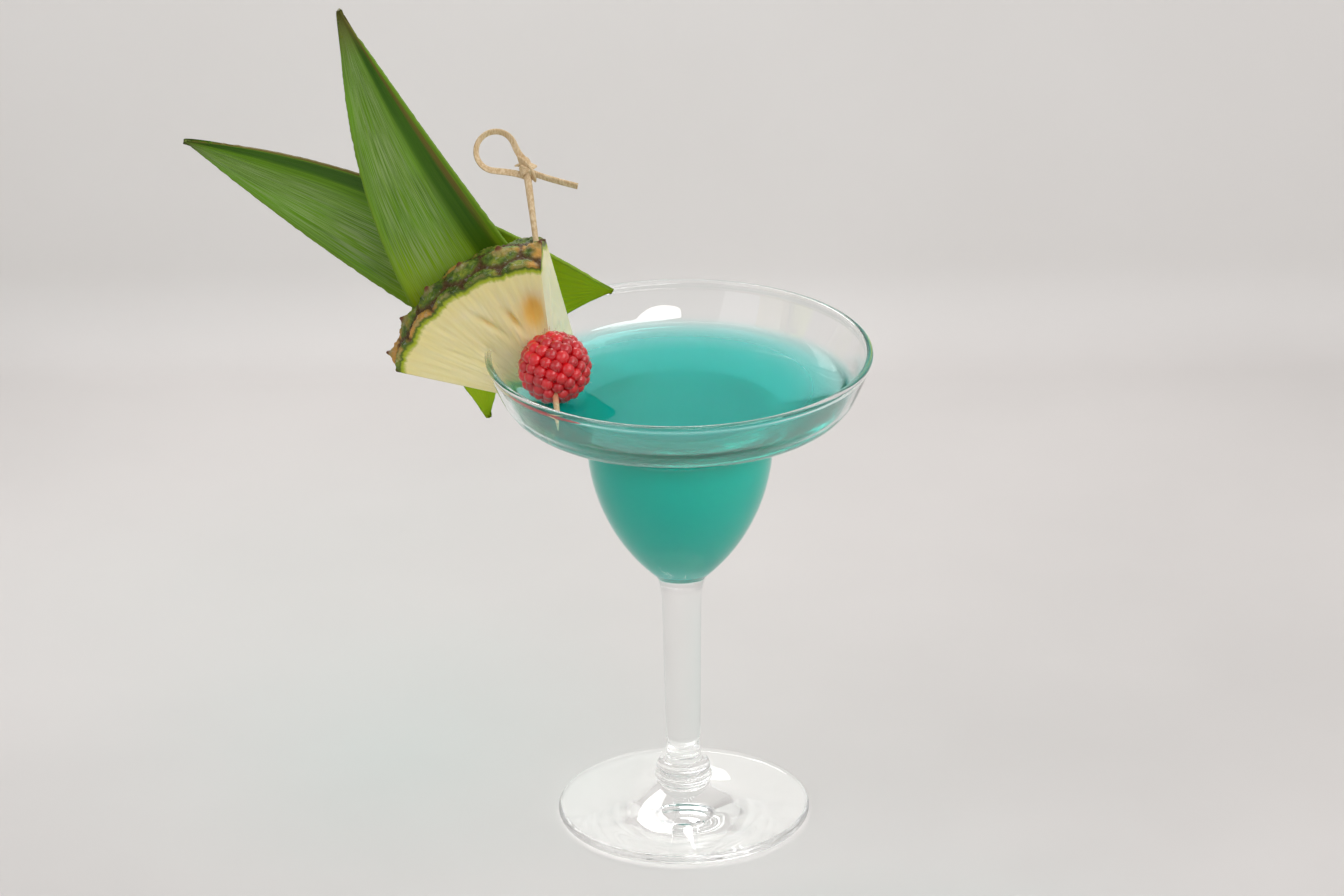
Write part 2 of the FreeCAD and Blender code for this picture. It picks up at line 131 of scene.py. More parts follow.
class Wire:
    """One socket in a material. Sums written with wires add Math nodes."""

    def __init__(self, tree, socket=None):
        self.tree, self.socket = tree, socket

    def node(self, kind, settings=None, inputs=None, output=0):
        """Add a node: its settings first, then a number, colour or wire for each input."""
        node = self.tree.nodes.new(kind)
        settings = dict(settings or {})
        stops = settings.pop("stops", None)
        for name, value in settings.items():
            setattr(node, name, value)
        if stops:
            ramp = node.color_ramp
            while len(ramp.elements) < len(stops):
                ramp.elements.new(0.5)
            for element, (place, colour) in zip(ramp.elements, stops):
                element.position, element.color = place, (*colour, 1)
        for name, value in (inputs or {}).items():
            if isinstance(value, Wire):
                self.tree.links.new(value.socket, node.inputs[name])
            elif isinstance(value, tuple) and len(value) == 3 and node.inputs[name].type == "RGBA":
                node.inputs[name].default_value = (*value, 1)
            else:
                node.inputs[name].default_value = value
        return Wire(self.tree, node.outputs[output])

    def sum(self, operation, *terms):
        return self.node("ShaderNodeMath", {"operation": operation}, dict(enumerate(terms)))

    def __add__(self, other):
        return self.sum("ADD", self, other)

    def __radd__(self, other):
        return self.sum("ADD", other, self)

    def __sub__(self, other):
        return self.sum("SUBTRACT", self, other)

    def __rsub__(self, other):
        return self.sum("SUBTRACT", other, self)

    def __mul__(self, other):
        return self.sum("MULTIPLY", self, other)

    def step(self, low, high):
        """0 below low and 1 above high, with an eased rise between them. low may be the larger."""
        return self.node("ShaderNodeMapRange", {"interpolation_type": "SMOOTHSTEP"},
                         {0: self, 1: low, 2: high, 3: 0.0, 4: 1.0})

    def between(self, low, high):
        """The colour that goes from low to high as this wire goes from 0 to 1."""
        return self.node("ShaderNodeMix", {"data_type": "RGBA"}, {0: self, 6: low, 7: high}, 2)

    def mark(self, name):
        """A number that the mesh carries at each of its points."""
        return self.node("ShaderNodeAttribute", {"attribute_name": name}, {}, 2)

    def place(self, stretch=(1, 1, 1)):
        """The point on the piece, in millimetres, stretched along X, Y and Z."""
        where = self.node("ShaderNodeTexCoord", {}, {}, 3)
        scale = tuple(share / MM for share in stretch)
        return self.node("ShaderNodeMapping", {}, {"Vector": where, "Scale": scale})

    def join(self, *numbers):
        """A point made of three numbers."""
        return self.node("ShaderNodeCombineXYZ", {}, dict(enumerate(numbers)))

    def cloud(self, where, scale, detail=3.0, roughness=0.5, distortion=0.0):
        """Soft noise from 0 to 1, with so many blobs to a unit of where."""
        return self.node("ShaderNodeTexNoise", {}, {"Vector": where, "Scale": scale, "Detail": detail,
                                                    "Roughness": roughness, "Distortion": distortion})

    def relief(self, height, depth):
        """A surface that stands up by depth metres where height is 1."""
        return self.node("ShaderNodeBump", {}, {"Height": height, "Distance": depth, "Strength": 1.0})

    def surface(self, **inputs):
        """The Principled shader; an underscore stands for a space in an input's name."""
        return self.node("ShaderNodeBsdfPrincipled", {},
                         {name.replace("_", " "): value for name, value in inputs.items()})

    def clear_to_light(self, shader, tint):
        """The shader, through which light falls with only a tint."""
        shadow = self.node("ShaderNodeLightPath", {}, {}, 1)
        passing = self.node("ShaderNodeBsdfTransparent", {}, {"Color": tint})
        return self.node("ShaderNodeMixShader", {}, {0: shadow, 1: shader, 2: passing})


def coat(piece, name, body, slot, *nodes, inside=None):
    """Give a piece its material and hide the CAD nodes that it stands for. slot is not used."""
    material = bpy.data.materials.new(name)
    material.use_nodes = True
    material.node_tree.nodes.clear()
    wire = Wire(material.node_tree)
    ends = {"Surface": body(wire)}
    if inside:
        ends["Volume"] = inside(wire)
    end_at(wire, ends)
    piece.data.materials.append(material)
    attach(piece, "root")
    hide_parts(*nodes)


def end_at(wire, ends):
    """Join a material's shaders to the sockets of its output."""
    output = wire.tree.nodes.new("ShaderNodeOutputMaterial")
    for name, value in ends.items():
        wire.tree.links.new(value.socket, output.inputs[name])


bowl_swell = BOWL_RADIUS - FLARE_RADIUS
outer_round = (bowl_swell ** 2 + (BOWL_TOP - BOWL_BASE) ** 2) / (2 * bowl_swell)
outer_top = (RIM_RADIUS - BEAD / 10, RIM_TOP - BEAD * 4 / 5)
inner_top = (RIM_RADIUS - BEAD * 9 / 10, RIM_TOP - BEAD * 4 / 5)
edge_in = FOOT_RADIUS - FOOT_EDGE / 2

glass_outline = [(0, 0)] + line((0, 0), (edge_in, 0), 6)
glass_outline += arc((edge_in, 0), (FOOT_RADIUS, FOOT_EDGE / 2), FOOT_EDGE / 2, 1, 6)
glass_outline += arc((FOOT_RADIUS, FOOT_EDGE / 2), (edge_in, FOOT_EDGE), FOOT_EDGE / 2, 1, 6)
glass_outline += arc((edge_in, FOOT_EDGE), (FOOT_NECK, FOOT_TOP), FOOT_SWEEP, -1, 20)
glass_outline += arc((FOOT_NECK, FOOT_TOP), (GROOVE_RADIUS, GROOVE), KNOP_LOW_ROUND, 1, 10)
glass_outline += arc((GROOVE_RADIUS, GROOVE), (COLLAR_RADIUS, COLLAR), KNOP_HIGH_ROUND, 1, 10)
glass_outline += line((COLLAR_RADIUS, COLLAR), (COLLAR_RADIUS, COLLAR_TOP), 1)
glass_outline += line((COLLAR_RADIUS, COLLAR_TOP), (STEM_FOOT_RADIUS, STEM_FOOT), 1)
glass_outline += line((STEM_FOOT_RADIUS, STEM_FOOT), (STEM_NECK_RADIUS, STEM_TOP), 10)
glass_outline += arc((STEM_NECK_RADIUS, STEM_TOP), (FLARE_RADIUS, BOWL_BASE), FLARE_ROUND, -1, 8)
glass_outline += bowl_wall(0, (FLARE_RADIUS, BOWL_BASE), outer_round, outer_top)
glass_outline += arc(outer_top, (RIM_RADIUS - BEAD / 2, RIM_TOP), BEAD / 2, 1, 7)
inner_outline = arc((0, FLOOR), FLOOR_EDGE, FLOOR_ROUND, 1, 14)
inner_outline += bowl_wall(WALL_GLASS, FLOOR_EDGE, outer_round - WALL_GLASS, inner_top)
inner_outline += arc(inner_top, (RIM_RADIUS - BEAD / 2, RIM_TOP), BEAD / 2, -1, 7)
glass_outline += inner_outline[-2::-1] + [(0, FLOOR)]
glass = turned("margarita_glass", glass_outline)


def glass_body(wire):
    ripple = wire.cloud(wire.place((1, 1, 0.4)), 0.06, 1.0)
    shine = wire.surface(Base_Color=(0.985, 0.995, 0.992), Roughness=0.0, IOR=1.5, Specular_IOR_Level=0.36,
                         Transmission_Weight=1.0, Normal=wire.relief(ripple, 0.00025))
    return wire.clear_to_light(shine, (0.97, 0.98, 0.978))


coat(glass, "clear pressed glass", glass_body, "clear_glass", "glass")

# ------------------------------------------------------------------ drink
# A cold mix of tequila, lime and blue curacao. It fills the small bowl and half of the dish, clear
# where it is shallow and cloudy in the bowl, and its surface climbs where it wets the glass.

LEVEL = 136.0
CLOUDY_BELOW = 114.0  # the drink is at its cloudiest from here down
INTO_GLASS = 0.15     # the drink's side lies this far inside the glass, so that no air shows between
CLIMB, CLIMB_WIDTH, CLIMB_STEPS, CLIMB_FALL = 1.5, 5.0, 12, 3.2

drink_outline = [(0, FLOOR - INTO_GLASS)]
for across, up in inner_outline:
    if up < LEVEL + CLIMB:
        drink_outline.append((across + INTO_GLASS, up - INTO_GLASS * 0.3))
wet_radius = drink_outline[-1][0] + 0.2
drink_outline.append((wet_radius, LEVEL + CLIMB))
for n in range(CLIMB_STEPS):
    away = CLIMB_WIDTH * (n + 1) / CLIMB_STEPS
    drink_outline.append((wet_radius - away, LEVEL + CLIMB * math.exp(-CLIMB_FALL * away / CLIMB_WIDTH)))
drink_outline += line((drink_outline[-1][0], LEVEL), (0, LEVEL), 24)
drink = turned("margarita_drink", drink_outline)
for name, measure in (("radius", lambda co: co.xy.length / MM), ("height", lambda co: co.z / MM)):
    marks = drink.data.attributes.new(name, "FLOAT", "POINT")
    marks.data.foreach_set("value", [measure(vert.co) for vert in drink.data.vertices])


def drink_body(wire):
    swirl = wire.cloud(wire.place(), 0.05, 2.0)
    radius, height = wire.mark("radius"), wire.mark("height")
    wet = wire.surface(Base_Color=(1.0, 1.0, 1.0), Roughness=0.0, IOR=1.333, Specular_IOR_Level=0.3,
                       Transmission_Weight=1.0, Normal=wire.relief(swirl, 0.0001))
    teal = swirl.between((0.0003, 0.62, 0.52), (0.0004, 0.68, 0.57))
    on_top = height.step(LEVEL - 0.6, LEVEL - 0.1)
    teal = on_top.between(teal, (0.0005, 0.40, 0.35))
    cloudy = wire.surface(Base_Color=teal, Roughness=0.5, IOR=1.333, Specular_IOR_Level=0.0,
                          Subsurface_Weight=1.0, Subsurface_Radius=(0.001, 0.006, 0.005),
                          Coat_Weight=on_top * 0.5, Coat_IOR=1.333, Coat_Roughness=0.0)
    share = height.step(LEVEL - 2.0, CLOUDY_BELOW) * 0.8 + on_top * radius.step(50.0, 28.0) * 0.62
    mixed = wire.node("ShaderNodeMixShader", {}, {0: share, 1: wet, 2: cloudy})
    fade = radius.step(46.0, 50.2) * height.step(LEVEL - 2.5, LEVEL - 0.1)
    thin = wire.node("ShaderNodeBsdfTransparent")
    mixed = wire.node("ShaderNodeMixShader", {}, {0: fade, 1: mixed, 2: thin})
    return wire.clear_to_light(mixed, (0.6, 0.93, 0.9))


def drink_inside(wire):
    return wire.node("ShaderNodeVolumeAbsorption", {}, {"Color": (0.0, 0.905, 0.885), "Density": 145.0})


coat(drink, "blue-green drink", drink_body, "teal_drink", "drink", inside=drink_inside)

# ------------------------------------------------------------------ pineapple wedge
# A sector of a slice with its skin on, set on the rim. Pale wet flesh with fibres running out from
# the core, opened pockets near the core, a lime-green line under the skin, and swollen, spiked eyes.

SLICE_RADIUS, MIDDLE_RADIUS, BACK_RADIUS, THICK = 47.8, 49.2, 46.6, 17.0
LOW_ANGLE, HIGH_ANGLE, BACK_TIP = math.radians(13.3), math.radians(85.8), -6.6
EYES = 5
SEAT_ALONG, SEAT_UP = 19.3, 19.7
GARNISH_TURN, GARNISH_LEAN = math.radians(4), math.radians(10)

# The slice's own frame: X along the slice, away from the glass; Y up it; Z through its thickness.
garnish_turn = (Matrix.Rotation(-GARNISH_TURN, 3, "Z") @ Matrix.Rotation(GARNISH_LEAN, 3, "X")
                @ Matrix.Rotation(math.pi, 3, Vector((0, 1, 1)).normalized()))
bead_middle = RIM_RADIUS - BEAD / 2
seat = Vector((-bead_middle * math.cos(GARNISH_TURN), bead_middle * math.sin(GARNISH_TURN), RIM_TOP))
garnish_start = seat - garnish_turn @ Vector((SEAT_ALONG, SEAT_UP, 0))


def on_garnish(point):
    """A point given in the slice's frame in mm, in metres on the whole."""
    return (garnish_start + garnish_turn @ Vector(point)) * MM


EYE_ROWS, EYE_WIDTH, EYE_SQUASH = (-1.5, 8.5, 18.5), 12.1, 1.12


def from_eye(share, through):
    """The distance in mm from the middle of the nearest eye, at a share of the turn and a depth."""
    distances = []
    for row, depth in enumerate(EYE_ROWS):
        place = share * EYES - (0.5 if row % 2 == 0 else 0.0)
        across = (place - round(place)) * EYE_WIDTH
        distances.append(math.hypot(across, (through - depth) * EYE_SQUASH))
    return min(distances)


def skin_radius(share, through):
    """The slice's radius in mm at a share of its sector's turn and a depth."""
    half = THICK / 2
    if through < half:
        plain = SLICE_RADIUS + (MIDDLE_RADIUS - SLICE_RADIUS) * through / half
    else:
        plain = MIDDLE_RADIUS + (BACK_RADIUS - MIDDLE_RADIUS) * (through - half) / half
    away = from_eye(share, through)
    swell = 1.5 * max(0.0, 1 - (away / 7.2) ** 2.2)
    thorn = 1.3 * math.exp(-(away / 1.1) ** 2)
    wrinkle = 0.5 * noise.noise(Vector((share * 60, through * 0.9, 3))) \
        + 0.25 * noise.noise(Vector((share * 160, through * 2.3, 8)))
    return plain + swell + thorn + wrinkle - 0.35


HOLLOWS = (   # along the slice, up it, length, width, depth and turn of each opened fibre pocket
    (6.0, 31.4, 8.0, 3.8, 2.8, 84.0), (19.0, 27.5, 6.2, 1.0, 1.4, 38.0),
    (11.6, 28.6, 6.4, 1.1, 1.7, 56.0), (29.0, 17.5, 4.5, 0.6, 0.5, 24.0),
    (16.5, 36.0, 4.5, 0.6, 0.45, 62.0), (24.0, 36.8, 4.0, 0.6, 0.4, 52.0),
    (32.0, 25.0, 4.0, 0.6, 0.4, 36.0), (20.5, 14.0, 5.0, 0.5, 0.4, 28.0),
)


def hollow(along, up):
    """How far the cut flesh dips at a point of the slice's face, in mm."""
    dip = 0.0
    for middle_along, middle_up, length, width, depth, turn in HOLLOWS:
        a, b = along - middle_along, up - middle_up
        c, s = math.cos(math.radians(turn)), math.sin(math.radians(turn))
        lengthwise, sideways = (a * c + b * s) / length, (b * c - a * s) / width
        dip = max(dip, depth * math.exp(-(lengthwise ** 2) * 1.6 - sideways ** 2))
    return dip


def wedge_point(share, reach, through):
    """The wedge's point at a share of the turn, a share of the way out from the tip and a depth.

    With it come its distance under the skin in mm and its angle.
    """
    angle = LOW_ANGLE + (HIGH_ANGLE - LOW_ANGLE) * share
    radius = skin_radius(share, through)
    tip = Vector((BACK_TIP * through / THICK, 0, through))
    skin = Vector((radius * math.cos(angle), radius * math.sin(angle), through))
    return tip + (skin - tip) * reach, radius * (1 - reach), angle


wedge_bm = bmesh.new()
under_skin = wedge_bm.verts.layers.float.new("under_skin")
around = wedge_bm.verts.layers.float.new("around")
eye_middle = wedge_bm.verts.layers.float.new("eye_middle")
pocket = wedge_bm.verts.layers.float.new("pocket")
through_slice = wedge_bm.verts.layers.float.new("through_slice")


def wedge_face(columns, rows, place):
    """Add one side of the wedge as a grid; place gives the share, reach and depth of a grid point."""
    for vert in bmesh.ops.create_grid(wedge_bm, x_segments=columns, y_segments=rows, size=0.5)["verts"]:
        share, reach, through = place(vert.co.x + 0.5, vert.co.y + 0.5)
        point, under, angle = wedge_point(share, reach, through)
        dip = 0.0
        if through == 0 and 0 < share < 1:
            fade = min(1.0, under / 2, share * 30, (1 - share) * 30)
            fibre = noise.noise(Vector((angle * 26, reach * 5, 1))) * 0.22 \
                + noise.noise(Vector((angle * 60, reach * 12, 5))) * 0.1
            dip = (hollow(point.x, point.y) + fibre) * fade
        elif share in (0, 1) and 0 < through < THICK:
            point += Vector((math.sin(angle), -math.cos(angle), 0)) * (1 if share else -1) \
                * 0.25 * noise.noise(Vector((through * 0.5, reach * 14, share * 9)))
        vert.co = on_garnish(point + Vector((0, 0, dip)))
        vert[under_skin], vert[around] = under, angle * 48
        vert[eye_middle], vert[pocket], vert[through_slice] = from_eye(share, through), dip, through


wedge_face(150, 110, lambda u, v: (u, v, 0.0))
wedge_face(150, 40, lambda u, v: (u, v, THICK))
wedge_face(200, 60, lambda u, v: (u, 1.0, v * THICK))
wedge_face(110, 60, lambda u, v: (0.0, u, v * THICK))
wedge_face(110, 60, lambda u, v: (1.0, u, v * THICK))
bmesh.ops.remove_doubles(wedge_bm, verts=wedge_bm.verts, dist=0.00002)
bmesh.ops.dissolve_degenerate(wedge_bm, edges=wedge_bm.edges, dist=0.00001)
bmesh.ops.recalc_face_normals(wedge_bm, faces=wedge_bm.faces)
wedge = finished("pineapple_slice_wedge", wedge_bm)


def wedge_body(wire):
    under, turn_mm, eye = wire.mark("under_skin"), wire.mark("around"), wire.mark("eye_middle")
    dip, deep = wire.mark("pocket"), wire.mark("through_slice")
    spot = wire.place()
    fibre = wire.cloud(wire.join(turn_mm * 0.55, under * 0.07, deep * 0.3), 1.0, 4.0, 0.6)
    juicy = wire.cloud(spot, 0.09, 3.0)
    flesh = fibre.step(0.2, 0.85).between((0.93, 0.81, 0.37), (0.96, 0.87, 0.50))
    flesh = (juicy.step(0.45, 0.7) * 0.6).between(flesh, (0.96, 0.84, 0.52))
    # Painted light: the cut side at the end of the turn is painted a paler cream than the face.
    flesh = turn_mm.step(71.7, 71.85).between(flesh, (1.0, 0.91, 0.62))
    flesh = (dip.step(0.35, 2.6) * 0.85).between(flesh, (0.95, 0.58, 0.08))
    flesh = (under.step(10.0, 4.0) * 0.35).between(flesh, (0.90, 0.78, 0.30))
    edge = under + (wire.cloud(spot, 0.5, 3.0) - 0.5) * 1.6
    lime = edge.step(3.6, 2.2).between(flesh, (0.42, 0.50, 0.02))
    lime = edge.step(2.2, 1.2).between(lime, (0.10, 0.16, 0.012))
    blotch = wire.cloud(spot, 0.22, 5.0, 0.65)
    ochre = wire.cloud(spot, 0.09, 2.0)
    skin = blotch.node("ShaderNodeValToRGB", {"stops": [
        (0.28, (0.02, 0.04, 0.006)), (0.42, (0.07, 0.12, 0.012)), (0.52, (0.14, 0.22, 0.02)),
        (0.62, (0.28, 0.32, 0.03)), (0.75, (0.42, 0.34, 0.09))]}, {0: blotch})
    skin = ochre.step(0.5, 0.62).between(skin, (0.62, 0.33, 0.07))
    skin = eye.step(4.8, 6.4).between(skin, (0.10, 0.05, 0.012))
    skin = (eye.step(3.0, 1.8) * 0.6).between(skin, (0.38, 0.33, 0.12))
    skin = eye.step(1.4, 0.6).between(skin, (0.16, 0.045, 0.015))
    bloom = wire.cloud(spot, 0.7, 2.0).step(0.58, 0.72) * 0.3
    skin = bloom.between(skin, (0.5, 0.52, 0.46))
    outside = edge.step(1.3, 0.5)
    colour = outside.between(lime, skin)
    grain = fibre * 0.7 + wire.cloud(spot, 1.3, 3.0) * 0.3
    rough = wire.cloud(spot, 1.1, 4.0) * outside
    return wire.surface(Base_Color=colour, Roughness=0.34 + juicy * 0.12 + outside * 0.12, IOR=1.4,
                        Subsurface_Weight=0.25, Subsurface_Radius=(0.004, 0.003, 0.0012),
                        Normal=wire.relief(grain * (1 - outside) * 0.35 + rough, 0.0006))


coat(wedge, "pineapple flesh and skin", wedge_body, "pineapple", "pineapple_wedge")

# ------------------------------------------------------------------ crown leaves
# Two stiff leaves pulled from the pineapple's crown, cut off square at the base and stood behind
# the wedge. They are gutter-shaped and ribbed along their length, with a waxy bloom in streaks under a
# painted sheen along one side, and a band of painted shade.

CHANNEL, LEAF_THICK, LEAF_FULLNESS = 42.15, 0.9, 0.9
CHANNEL_INSIDE = CHANNEL - 0.15     # the CAD leaf's inner round
TALL_BEHIND = THICK + 0.15          # how far the tall leaf's margins stand behind the wedge's face
SIDE_BEHIND = TALL_BEHIND + 4.39 + 1.35     # and the side leaf's behind the tall one's middle


def bow(across, along, start, end, rise):
    """How far an arc with that rise stands off the line from start to end, at a place along it."""
    if not start < along < end or rise == 0:
        return 0.0
    half = (end - start) / 2
    radius = (half * half + rise * rise) / (2 * abs(rise))
    off = math.sqrt(radius ** 2 - (along - start - half) ** 2) - (radius - abs(rise))
    return math.copysign(off, rise) * across


def crown_leaf(name, node, length, turn, start, near, bulge, cut, front_bulge, hand, seed, body):
    """A leaf from its base at start to its tip, whose margins stand at the depth near.

    cut is the corner, along and across the leaf, where it was cut from the crown. The rounder
    margin bulges on the side of hand, 1 or -1, and body makes the leaf's shader.
    """
    lie = Matrix.Rotation(math.radians(turn), 3, "Z")
    cut_along, cut_across = cut
    fullness = bulge * LEAF_FULLNESS
    middle = Vector((cut_along, hand * (fullness - cut_across) / 2, 0))
    run = (Vector((length, 0, 0)) - middle).normalized()
    half_width = (fullness + cut_across) / 2
    lift = math.sqrt(CHANNEL_INSIDE ** 2 - half_width ** 2)
    bm = bmesh.new()
    along_mark = bm.verts.layers.float.new("along")
    across_mark = bm.verts.layers.float.new("across")
    for vert in bmesh.ops.create_grid(bm, x_segments=220, y_segments=44, size=0.5)["verts"]:
        u, v = vert.co.x + 0.5, vert.co.y + 0.5
        along = length * (u + 0.02 * math.sin(math.pi * u))
        full = bow(hand, along, 0, length, bulge)
        if along < cut_along:
            low = -hand * cut_across * along / cut_along
        else:
            share = (along - cut_along) / (length - cut_along)
            low = -hand * (cut_across * (1 - share) + bow(1, along, cut_along, length, front_bulge))
        ragged = 0.25 * noise.noise(Vector((along * 0.5, v * 3, seed))) * (1 if v in (0, 1) else 0)
        across = low + (full - low) * v + ragged * min(1, (length - along) * 0.2, along * 0.2)
        offset = Vector((along, across, 0)) - middle
        aside = offset.x * -run.y + offset.y * run.x
        wave = 0.35 * noise.noise(Vector((along * 0.03, v * 1.5, seed + 4)))
        rib = 0.07 * math.sin(v * 62 + 0.6 * math.sin(along * 0.05)) + 0.05 * math.sin(v * 121 + 1)
        hollow_way = math.sqrt(CHANNEL ** 2 - aside ** 2) - lift
        depth = hollow_way + wave * min(1, v * 6, (1 - v) * 6) + rib
        flat = lie @ Vector((along, across, 0))
        vert.co = on_garnish((start[0] + flat.x, start[1] + flat.y, near + depth))
        vert[along_mark], vert[across_mark] = along, v
    bmesh.ops.remove_doubles(bm, verts=bm.verts, dist=0.00003)
    bmesh.ops.dissolve_degenerate(bm, edges=bm.edges, dist=0.00001)
    leaf = finished(name, bm)
    front = garnish_turn @ Vector((0, 0, -1))
    if sum((face.normal.dot(front) for face in leaf.data.polygons), 0.0) < 0:
        leaf.data.flip_normals()
    blade = leaf.modifiers.new("blade", "SOLIDIFY")
    blade.thickness, blade.offset = LEAF_THICK * MM, -1.0
    coat(leaf, name + " green", body, "crown_leaf", node)


def leaf_body(edge_brown, shade_at, bloom_and_sheen_at):
    """A leaf's colours: a band of painted shade runs at shade_at across the leaf, and the bloom, with a
    painted sheen, at bloom_and_sheen_at.
    """
    def body(wire):
        along, across = wire.mark("along"), wire.mark("across")
        streak = wire.cloud(wire.join(across * 46, along * 0.02, 0.0), 1.0, 4.0, 0.7)
        fine = wire.cloud(wire.join(across * 150, along * 0.06, 3.0), 1.0, 3.0, 0.6)
        patch = wire.cloud(wire.join(across * 2.5, along * 0.03, 7.0), 1.0, 2.0)
        green = streak.step(0.3, 0.75).between((0.07, 0.19, 0.004), (0.18, 0.36, 0.008))
        green = (patch.step(0.4, 0.7) * 0.5).between(green, (0.17, 0.42, 0.010))
        green = (along.step(72.0, 25.0) * 0.75).between(green, (0.60, 0.80, 0.010))
        # Painted shade: a band of dark green across the leaf, growing towards the tip.
        away = across - shade_at
        painted_shade = away * away
        painted_shade = painted_shade.step(0.022, 0.002) * along.step(25.0, 55.0) * 0.75
        green = painted_shade.between(green, (0.016, 0.075, 0.002))
        # Whitish streaks of waxy bloom, gathered in a band along one side where they also stand for a
        # painted sheen.
        off_bloom_and_sheen = across - bloom_and_sheen_at
        bloom_and_sheen = (off_bloom_and_sheen * off_bloom_and_sheen).step(0.16, 0.01) * fine.step(0.42, 0.62) * along.step(20.0, 60.0)
        green = (bloom_and_sheen * 0.5).between(green, (0.45, 0.54, 0.28))
        margin = (across * (1 - across)).step(0.035, 0.006)
        green = (margin * 0.8).between(green, (0.17, 0.30, 0.02))
        brown = edge_brown(across) * along.step(50.0, 80.0)
        green = (brown * 0.75).between(green, (0.16, 0.08, 0.02))
        tip = along.step(122.0, 142.0) * 0.8
        green = tip.between(green, (0.20, 0.16, 0.04))
        ribs = streak * 0.5 + fine * 0.5
        return wire.surface(Base_Color=green, Roughness=0.36 + fine * 0.22, IOR=1.42,
                            Specular_IOR_Level=0.3, Subsurface_Weight=0.08,
                            Subsurface_Radius=(0.001, 0.002, 0.0005),
                            Normal=wire.relief(ribs, 0.00025))
    return body


crown_leaf("crown_leaf_tall", "leaf_tall", length=141.2, turn=74.5, start=(22.4, -17.4), near=TALL_BEHIND,
           bulge=11.2, cut=(44.2, 27.3), front_bulge=-1.2, hand=-1, seed=11,
           body=leaf_body(lambda across: across.step(0.14, 0.09) * across.step(0.03, 0.06), 0.20, 0.66))
crown_leaf("crown_leaf_side", "leaf_side", length=132.0, turn=21.2, start=(-14.7, 22.8), near=SIDE_BEHIND,
           bulge=10.5, cut=(22.5, 32.7), front_bulge=3.5, hand=1, seed=23,
           body=leaf_body(lambda across: across.step(0.99, 0.999), 0.9, 0.35))

# ------------------------------------------------------------------ bamboo pick
# A split of bamboo about 85 mm long, sharpened at the foot. At the head the thinned strip is bent
# round into a loop, wrapped once to tie a knot, and left with a short flat tail.

BERRY_UP, BERRY_OUT, PICK_TOP, PICK_STEPS = 20.2, 10.8, 59.0, 14
side_tilt, back_tilt = math.radians(9), math.radians(41.2)
pick_up = Vector((math.sin(side_tilt), math.cos(side_tilt) * math.cos(back_tilt),
                  math.cos(side_tilt) * math.sin(back_tilt)))
pick_side = (Vector((-1, 0, 0)) - pick_up * Vector((-1, 0, 0)).dot(pick_up)).normalized()
pick_front = pick_up.cross(pick_side)


def on_pick(point):
    """A point given in the pick's frame in mm, where Z runs up it and X to the right of its knot."""
    x, y, z = point
    return on_garnish(Vector((0, BERRY_UP, -BERRY_OUT)) + pick_side * x + pick_front * y + pick_up * z)


def on_knot(point):
    """A point given from the middle of the knot."""
    return on_pick(Vector(point) + Vector((0, 0, PICK_TOP)))


def ribbon(name, points, width, thick, tilts):
    """A mesh of a flat strip bent along points given from the middle of the knot."""
    curve = bpy.data.curves.new(name, "CURVE")
    curve.dimensions, curve.resolution_u = "3D", 6
    curve.twist_mode = "MINIMUM"
    curve.extrude, curve.bevel_depth, curve.bevel_resolution = (width - thick) / 2 * MM, thick / 2 * MM, 2
    curve.use_fill_caps = True
    spline = curve.splines.new("NURBS")
    spline.points.add(len(points) - 1)
    for point, place, tilt in zip(spline.points, points, tilts):
        point.co = (*on_knot(place), 1)
        point.tilt = tilt
    spline.order_u, spline.use_endpoint_u = 4, True
    holder = bpy.data.objects.new(name, curve)
    bpy.context.scene.collection.objects.link(holder)
    mesh = bpy.data.meshes.new_from_object(holder.evaluated_get(bpy.context.evaluated_depsgraph_get()))
    bpy.data.objects.remove(holder)
    return mesh


pick_bm = bmesh.new()
pick_along = pick_bm.verts.layers.float.new("along")
stem_outline = [(0, -23.0), (0.12, -22.8), (0.5, -19.0), (0.85, -14.5), (0.9, -2)]
stem_outline += line((0.9, -2), (0.8, 36), 19)
stem_outline += [(0.9, 44), (1.08, 53), (1.12, 58), (0.9, 61.5), (0, 62)]
spin_outline(pick_bm, stem_outline, 1, PICK_STEPS)

# Inside the berry the pick is bent, so that its point leans forward. From the berry to the wedge's
# skin it runs through the flesh, this far from the straight line.
BEND, IN_FLESH = math.radians(25), Vector((1.2, 0, 7.0))
for vert in pick_bm.verts:
    x, y, z = vert.co
    vert[pick_along] = z
    sunk = max(0.0, min(1.0, z / 6.5, (35 - z) / 12))
    sunk *= sunk * (3 - 2 * sunk)
    if z < 0:
        y, z = y * math.cos(BEND) + z * math.sin(BEND), z * math.cos(BEND) - y * math.sin(BEND)
    vert.co = on_pick((x, y, z)) + garnish_turn @ IN_FLESH * sunk * MM

LOOP = (-8.2, 6.0, 5.8)     # the loop's middle, to the side and up, and its radius
loop_points = [(0.6, 0.9, -3.4), (-1.2, 0.9, -1.6)]
for degrees in range(-92, -372, -20):
    turn = math.radians(degrees)
    loop_points.append((LOOP[0] + LOOP[2] * math.cos(turn), 0.6 - 1.2 * (degrees + 92) / -280,
                        LOOP[1] + LOOP[2] * math.sin(turn)))
loop_points += [(-1.6, -0.6, 3.6), (0.4, -0.9, 1.2)]
loop_tilts = [0.5 + 1.0 * math.sin(math.pi * n / (len(loop_points) - 1)) for n in range(len(loop_points))]
tail_points = [(-1.6, -1.2, 0.0), (0.8, -1.3, -1.6), (3.6, -0.9, -3.2), (7.0, -0.5, -4.7),
               (10.5, -0.2, -6.2), (14.0, 0.0, -7.6)]
wrap_points = [(math.cos(a) * 1.75, math.sin(a) * 1.6, 1.4 * math.sin(a * 0.5 + 0.5))
               for a in (math.radians(d) for d in range(-180, 210, 30))]
